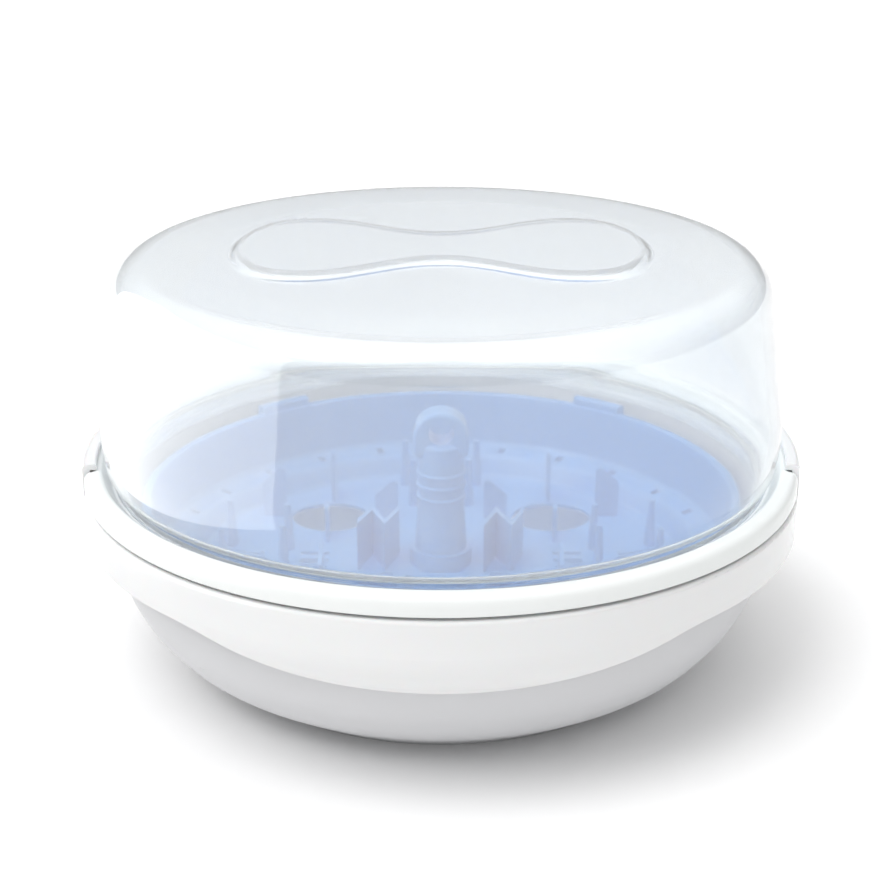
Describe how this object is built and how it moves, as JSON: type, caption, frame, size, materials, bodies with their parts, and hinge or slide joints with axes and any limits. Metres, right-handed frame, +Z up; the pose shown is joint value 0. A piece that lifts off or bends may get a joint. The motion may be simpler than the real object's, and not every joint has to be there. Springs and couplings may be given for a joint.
{
  "type": "bottle sterilizer",
  "caption": "Microwave steam sterilizer for baby bottles: white water bowl with cool-touch skirt, clear dome lid, hinged side clips and a lift-out rack with a finger post.",
  "frame": {"origin": "centre of the foot ring, on the surface the object stands on", "axes": "+Z up through the lid's crown, the two clips at +X and -X, the front at -Y"},
  "size_m": [0.28, 0.28, 0.166],
  "materials": {
    "bowl_plastic": "satin moulded polypropylene",
    "skirt_plastic": "glossy white moulded polypropylene",
    "clip_plastic": "glossy white moulded polypropylene",
    "pin_plastic": "smooth white moulded acetal",
    "clear_plastic": "clear, slightly milky moulded polypropylene",
    "blue_plastic": "translucent blue moulded polypropylene"
  },
  "bodies": {
    "base": {"base_bowl": "bowl_plastic", "base_skirt": "skirt_plastic", "clip_pin_left": "pin_plastic", "clip_pin_right": "pin_plastic"},
    "clip_left": {"clip_left": "clip_plastic"},
    "clip_right": {"clip_right": "clip_plastic"},
    "lid": {"lid": "clear_plastic"},
    "rack": {"rack": "blue_plastic", "rack_post": "blue_plastic"}
  },
  "joints": [
    {"name": "lid_lift", "type": "slide", "parent": "base", "child": "lid", "axis": [0, 0, 1], "range_m": [0, 0.3]},
    {"name": "rack_lift", "type": "slide", "parent": "base", "child": "rack", "axis": [0, 0, 1], "range_m": [0, 0.12]},
    {"name": "clip_right_hinge", "type": "hinge", "parent": "base", "child": "clip_right", "pos_m": [0.1328, 0, 0.05], "axis": [0, 1, 0], "range_deg": [0, 95]},
    {"name": "clip_left_hinge", "type": "hinge", "parent": "base", "child": "clip_left", "pos_m": [-0.1328, 0, 0.05], "axis": [0, -1, 0], "range_deg": [0, 95]}
  ],
  "couplings": [
    {"joint": "rack_lift", "follows": "lid_lift", "ratio": 0.4}
  ]
}
